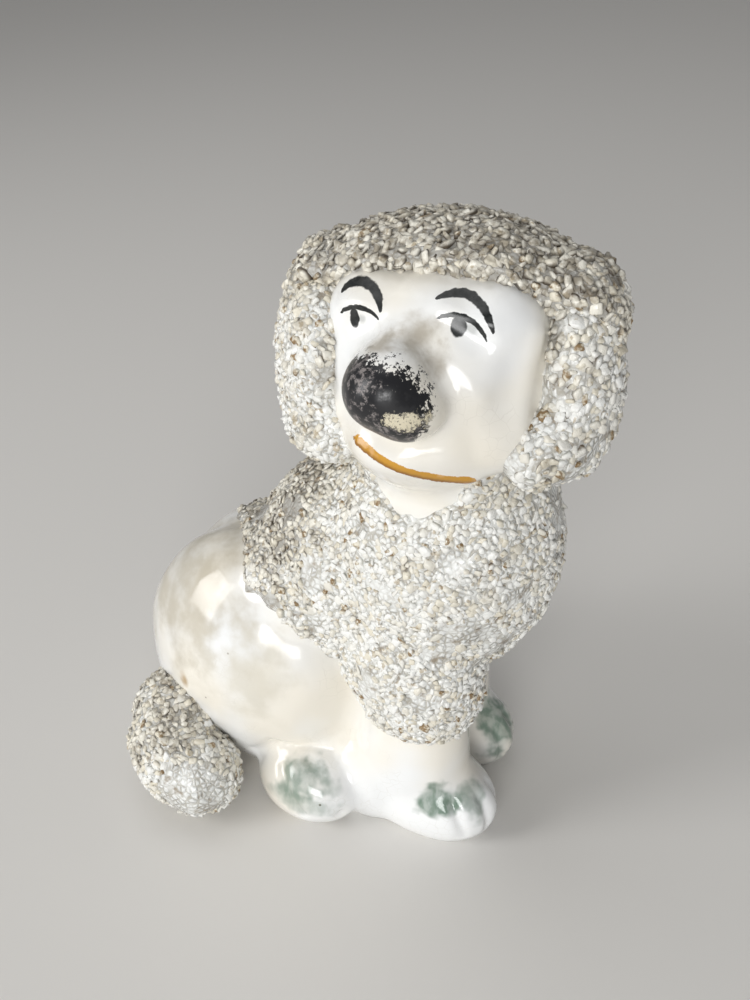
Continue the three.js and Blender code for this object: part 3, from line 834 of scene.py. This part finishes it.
def scatter_group(crumbs):
    """Geometry nodes that set crumbs on a surface, as thickly as its `grit` attribute says."""
    tree = bpy.data.node_groups.new("scatter", "GeometryNodeTree")
    sockets = {"Geometry": "Geometry", "Spacing": "Float", "Size": "Float", "Zone": "Float", "Seed": "Int"}
    for socket, kind in sockets.items():
        tree.interface.new_socket(socket, in_out="INPUT", socket_type="NodeSocket" + kind)
    tree.interface.new_socket("Geometry", in_out="OUTPUT", socket_type="NodeSocketGeometry")
    given = tree.nodes.new("NodeGroupInput").outputs
    grit = add(tree, "GeometryNodeInputNamedAttribute", {"Name": "grit"}, data_type="FLOAT")
    zone = add(tree, "GeometryNodeInputNamedAttribute", {"Name": "zone"}, data_type="FLOAT")
    here = math_of(tree, "COMPARE", zone.outputs["Attribute"], given["Zone"])
    wanted = math_of(tree, "MULTIPLY", grit.outputs["Attribute"], here)
    # so many that only the spacing keeps them apart
    most = math_of(tree, "DIVIDE", 3.0, math_of(tree, "MULTIPLY", given["Spacing"], given["Spacing"]))
    points = add(tree, "GeometryNodeDistributePointsOnFaces", {
        "Mesh": given["Geometry"], "Distance Min": given["Spacing"], "Density Max": most,
        "Density Factor": wanted, "Seed": given["Seed"],
    }, distribute_method="POISSON")
    turn = add(tree, "FunctionNodeRandomValue", data_type="FLOAT_VECTOR")
    turn.inputs[0].default_value = (-CRUMB_TILT, -CRUMB_TILT, -math.pi)
    turn.inputs[1].default_value = (CRUMB_TILT, CRUMB_TILT, math.pi)
    turned = add(tree, "FunctionNodeRotateRotation", {
        "Rotation": points.outputs["Rotation"], "Rotate By": turn.outputs[0],
    }, rotation_space="LOCAL")
    size = add(tree, "FunctionNodeRandomValue", {"Seed": 7}, data_type="FLOAT_VECTOR")
    size.inputs[0].default_value = CRUMB_LEAST
    size.inputs[1].default_value = CRUMB_MOST
    sized = add(tree, "ShaderNodeVectorMath", {0: size.outputs[0], "Scale": given["Size"]}, operation="SCALE")
    picked = add(tree, "GeometryNodeCollectionInfo", {
        "Collection": crumbs, "Separate Children": True, "Reset Children": True,
    })
    copies = add(tree, "GeometryNodeInstanceOnPoints", {
        "Points": points.outputs["Points"], "Instance": picked.outputs[0], "Pick Instance": True,
        "Rotation": turned.outputs[0], "Scale": sized.outputs[0],
    })
    tone = add(tree, "FunctionNodeRandomValue", {"Seed": 3}, data_type="FLOAT")
    toned = add(tree, "GeometryNodeStoreNamedAttribute", {
        "Geometry": copies.outputs[0], "Name": "tone", "Value": tone.outputs[1],
    }, data_type="FLOAT", domain="INSTANCE")
    real = add(tree, "GeometryNodeRealizeInstances", {"Geometry": toned.outputs[0]})
    out = tree.nodes.new("NodeGroupOutput")
    tree.links.new(real.outputs[0], out.inputs[0])
    return tree


CRUMBS = chip_box(16, 5)
SCATTER = scatter_group(CRUMBS)


def shreds_on(ground, name, layers, seed, zone=0):
    """Crumbs set on one zone of a coat's ground: one layer for each (spacing, size)."""
    bm = bmesh.new()
    for i, (spacing, size) in enumerate(layers):
        carrier = bpy.data.objects.new("carrier", ground.data)
        bpy.context.scene.collection.objects.link(carrier)
        scatter = carrier.modifiers.new("scatter", "NODES")
        scatter.node_group = SCATTER
        values = {"Spacing": spacing * MM, "Size": size * MM, "Zone": float(zone), "Seed": seed + i}
        for socket in SCATTER.interface.items_tree:
            if socket.name in values:
                scatter[socket.identifier] = values[socket.name]
        depsgraph = bpy.context.evaluated_depsgraph_get()
        mesh = bpy.data.meshes.new_from_object(carrier.evaluated_get(depsgraph))
        bm.from_mesh(mesh)
        bpy.data.meshes.remove(mesh)
        bpy.data.objects.remove(carrier)
    mesh = bpy.data.meshes.new(name)
    bm.to_mesh(mesh)
    bm.free()
    mesh.materials.append(SHRED)
    piece = bpy.data.objects.new(name, mesh)
    bpy.context.scene.collection.objects.link(piece)
    return piece


COAT_VOXEL = 0.6
COAT_ROUNDS = 12
SUNK = 0.5
LUMPS = 0.35


def glaze_patches(point):
    """Here and there the glaze has run smooth over the shreds."""
    return 0.97 * smooth_step(0.3, 0.45, noise.noise(point / 5.5 + Vector((9, 4, 1))))


def no_patches(point):
    """The shreds stand clear of the glaze all over."""
    return 0.0


def tail_patch(point):
    """The one spot low on the tail where the glaze has pooled over the shreds."""
    return smooth_step(6.2, 4.8, (point - HIP - Vector((2.4, -30.8, 8.0))).length)


def coat_ground(name, masses, cover, grime, thickness, trims, bare=glaze_patches):
    """The clay under a coat. It lies below the skin, and rises `thickness` above it where `cover` is one."""
    bm = fused(masses, COAT_VOXEL, COAT_ROUNDS, -SUNK)
    for point, normal in trims:
        rim = cut(bm, point, normal, clear=True)
        bmesh.ops.triangle_fill(bm, use_beauty=True, edges=rim)
    bmesh.ops.recalc_face_normals(bm, faces=bm.faces)
    bm.normal_update()
    grit = bm.verts.layers.float.new("grit")
    soot = bm.verts.layers.float.new("soot")
    zone = bm.verts.layers.float.new("zone")
    for v in bm.verts:
        v[zone] = 1.0 if name == "mane_ground" and v.co.y > HIP.y else 0.0
        share = cover(v.co)
        lump = noise.noise(v.co / 2.6) * LUMPS
        v[grit] = smooth_step(0.35, 0.75, share) * (1 - bare(v.co))
        dirt = grime(v.co) + noise.noise(v.co / 4) * 0.7 + noise.noise(v.co / 1.5) * 0.4
        v[soot] = smooth_step(0.0, 1.0, dirt)
        v.co += v.normal * (share * (SUNK + thickness + lump))
    for f in bm.faces:
        f.smooth = True
    ground = new_object(name, bm)
    ground.data.materials.append(GROUND)
    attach(ground, "root")
    return ground


# ---- where the coats end ----
MANE_EDGE = (place(0, 0, 41.5).translation, turn_by(0, 43).to_3x3() @ Vector((0, 0, 1)))
MANE_REAR = -9.5
MANE_WAIST = 35.5
MANE_FOOT = 18.0
HAIRLINE = in_head(0, -4, 8.5).translation
HAIRLINE_WAY = (HEAD @ Matrix.Rotation(math.radians(33), 4, "X")).to_3x3() @ Vector((0, 1, 0))
THROAT = in_head(-2, -9, -13).translation
THROAT_REACH = 5.8


def ragged(point, size, depth):
    """A wander of up to `depth` for an edge."""
    return noise.noise(point / size) * depth


def mane_cover(point):
    """The mane: bare at the throat, and ragged at its edge down the flanks and the chest."""
    p = point - HIP
    edge = (point - MANE_EDGE[0]).dot(MANE_EDGE[1])
    rear = p.x - MANE_REAR - abs(p.y) * 0.85
    waist = max(edge, min(p.z - MANE_WAIST, rear))
    inside = min(waist, p.z - MANE_FOOT) + ragged(point, 3, 1.2)
    throat = (point - THROAT).length - THROAT_REACH + ragged(point, 2, 1)
    return smooth_step(-0.5, 2.0, inside) * smooth_step(-0.5, 1.5, throat)


def crown_cover(point):
    """The crown: all that lies behind the hairline."""
    return smooth_step(-1.5, 0.2, (point - HAIRLINE).dot(HAIRLINE_WAY) + ragged(point, 3, 1))


def all_cover(point):
    """Covered all over."""
    return 1.0


def crown_grime(point):
    """Dirt gathers on top of the head."""
    local = HEAD.inverted() @ point
    return smooth_step(2, 15, local.z) * 0.95 + smooth_step(-4, 10, local.x) * 0.2


def mane_grime(point):
    """Dirt gathers on the upper back."""
    p = point - HIP
    upper_back = smooth_step(18, 6, p.x - (p.z - 45) * 0.4)
    return upper_back * 0.75


def ear_grime(point):
    """Dirt gathers towards the top of an ear."""
    local = HEAD.inverted() @ point
    return 0.12 + smooth_step(-4, 12, local.z) * 0.3


def tail_grime(point):
    """Dirt gathers on top of the tail."""
    return smooth_step(6, 16, point.z) * 0.5 + 0.05


SHRED_LAYERS = {
    "mane": [(0.75, 1.15), (1.6, 1.5)],
    "crown": [(0.9, 1.4), (1.8, 1.8)],
    "ear_near": [(0.8, 1.2), (1.7, 1.6)],
    "ear_far": [(0.9, 1.35), (1.9, 1.8)],
    "tail": [(0.8, 1.25), (1.6, 1.6)],
}
TAIL_CURL = [
    ((-9, -12, 14.0), 5.0), ((-8.2, -19.5, 11.0), 5.7), ((-6.4, -23, 9.0), 5.8),
    ((-3.4, -24.6, 7.7), 5.8), ((-0.2, -25.0, 6.9), 5.2),
]
TAIL_COAT = 1.2


def make_coats():
    """The coats, each of its ground and its shreds."""
    mane_masses = BODY_MASSES[:2] + BODY_MASSES[4:] + ARM_MASSES  # all but the seat and the belly
    back_off = HIP + Vector((MANE_REAR - 3, 0, 0))
    under = HIP + Vector((0, 0, MANE_FOOT - 2.5))
    slant = Vector((0.447, 0, 0.894))
    below = HIP + Vector((-12, 0, 31))
    above = in_head(0, 0, -8).translation
    mane = coat_ground("mane_ground", mane_masses, mane_cover, mane_grime, 0.9, [
        (back_off, (-1, 0, 0)), (under, (0, 0, -1)), (below, -slant), (above, NECK_CUT[1]),
    ])
    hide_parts("mane_coat")
    crown_masses = [
        (in_head(0, 2, 6), (18.6, 14.4, 11.6)),
        (in_head(-14, 1.5, 7), (6.5, 9.5, 7.5)),
        (in_head(14.5, 1.5, 6.5), (7, 9.5, 7.5)),
        HEAD_MASSES[0],
    ]
    crown = coat_ground("crown_ground", crown_masses, crown_cover, crown_grime, 0.2, [
        (HAIRLINE - HAIRLINE_WAY * 0.2, -HAIRLINE_WAY),
        (in_head(0, 0, -9).translation, HEAD.to_3x3() @ Vector((0, 0, -1))),
    ], no_patches)
    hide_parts("crown_coat")
    grounds = {"mane": mane, "crown": crown}
    for name, side, out in (("near", -1, 16.6), ("far", 1, 16.4)):
        lobes = [
            (in_head(side * out, 0.5, -0.9), (5.4, 8.4, 12.8)),
            (in_head(side * (out - 2.2), -3.2, -7.5), (5.6, 6.5, 6.0)),
            (in_head(side * (out - 3.6), -6, -8.5), (4.6, 4.8, 4.6)),
        ]
        if name == "near":
            lobes.append((in_head(-14.4, -3.4, 0.5), (4.8, 7.6, 10)))
        ear = coat_ground("ear_ground_" + name, lobes, all_cover, ear_grime, 0, [])
        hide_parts("ear_coat_" + name, "ear_" + name)
        grounds["ear_" + name] = ear
    tail_masses = [(place(*centre), (radius + TAIL_COAT,) * 3) for centre, radius in TAIL_CURL]
    tail = coat_ground("tail_ground", tail_masses, all_cover, tail_grime, 0, [
        ((0, 0, 0.4), (0, 0, -1)),
    ], tail_patch)
    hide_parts("tail_coat", "tail_core")
    grounds["tail"] = tail
    for i, (name, ground) in enumerate(grounds.items()):
        for zone, side in enumerate(("near", "far") if name == "mane" else ("all",)):
            shreds = shreds_on(ground, f"{name}_shreds_{side}", SHRED_LAYERS[name], 20 + i * 5, zone)
            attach(shreds, "root")


make_coats()
# the crumbs to pick from are copied into the shreds, so they leave the scene
for crumb in list(CRUMBS.objects):
    bpy.data.objects.remove(crumb)
bpy.data.collections.remove(CRUMBS)
bpy.data.node_groups.remove(SCATTER)
frame["nodes"]["foot_slab"].data.materials.clear()
frame["nodes"]["foot_slab"].data.materials.append(BISCUIT)


# ================= light, floor and camera =================

CAMERA_TARGET = HIP + Vector((11.39, 7.0, 41.9))
CAMERA_ANGLES = (31, 34)
CAMERA_DISTANCE = 172
CAMERA_LENS = 41.4
# name, place in metres, width and height in metres, watts, spread in degrees
LAMPS = [
    ("window", (-0.54, -0.54, 0.34), (0.30, 0.60), 0.62, 75),
    ("front_wall", (0.34, -0.90, 0.30), (0.60, 0.40), 1.24, 75),
    ("skylight", (-0.14, 0.06, 0.60), (0.4, 0.4), 0.25, 120),
]
FLOOR_SIZE = 6000
FLOOR_COLOR = (0.76, 0.742, 0.711, 1)
FLOOR_ROUGHNESS = 0.55
ROOM_COLOR = (0.80, 0.80, 0.80, 1)
ROOM_STRENGTH = 0.31


def studio():
    """A pale floor, soft light, and the camera."""
    bm = bmesh.new()
    bmesh.ops.create_grid(bm, x_segments=1, y_segments=1, size=FLOOR_SIZE)
    floor = new_object("floor", bm)
    paint = bpy.data.materials.new("floor")
    paint.use_nodes = True
    surface = paint.node_tree.nodes["Principled BSDF"]
    surface.inputs["Base Color"].default_value = FLOOR_COLOR
    surface.inputs["Roughness"].default_value = FLOOR_ROUGHNESS
    floor.data.materials.append(paint)
    bpy.context.scene.view_settings.view_transform = "Standard"
    world = bpy.data.worlds.new("room")
    bpy.context.scene.world = world
    world.use_nodes = True
    background = world.node_tree.nodes["Background"].inputs
    background["Color"].default_value = ROOM_COLOR
    background["Strength"].default_value = ROOM_STRENGTH
    look_at = Vector(CAMERA_TARGET) * MM
    for name, at, size, power, spread in LAMPS:
        lamp = bpy.data.lights.new(name, "AREA")
        lamp.shape = "RECTANGLE"
        lamp.size, lamp.size_y = size
        lamp.energy = power
        lamp.spread = math.radians(spread)
        holder = bpy.data.objects.new(name, lamp)
        holder.location = at
        holder.rotation_euler = (look_at - holder.location).to_track_quat("-Z", "Y").to_euler()
        bpy.context.scene.collection.objects.link(holder)
    azimuth, elevation = (math.radians(a) for a in CAMERA_ANGLES)
    back = Vector((
        math.sin(azimuth) * math.cos(elevation),
        -math.cos(azimuth) * math.cos(elevation),
        math.sin(elevation),
    ))
    lens = bpy.data.cameras.new("camera")
    lens.lens = CAMERA_LENS
    lens.clip_start = 0.01
    camera = bpy.data.objects.new("camera", lens)
    camera.location = look_at + back * CAMERA_DISTANCE * MM
    camera.rotation_euler = back.to_track_quat("Z", "Y").to_euler()
    bpy.context.scene.collection.objects.link(camera)
    bpy.context.scene.camera = camera


studio()
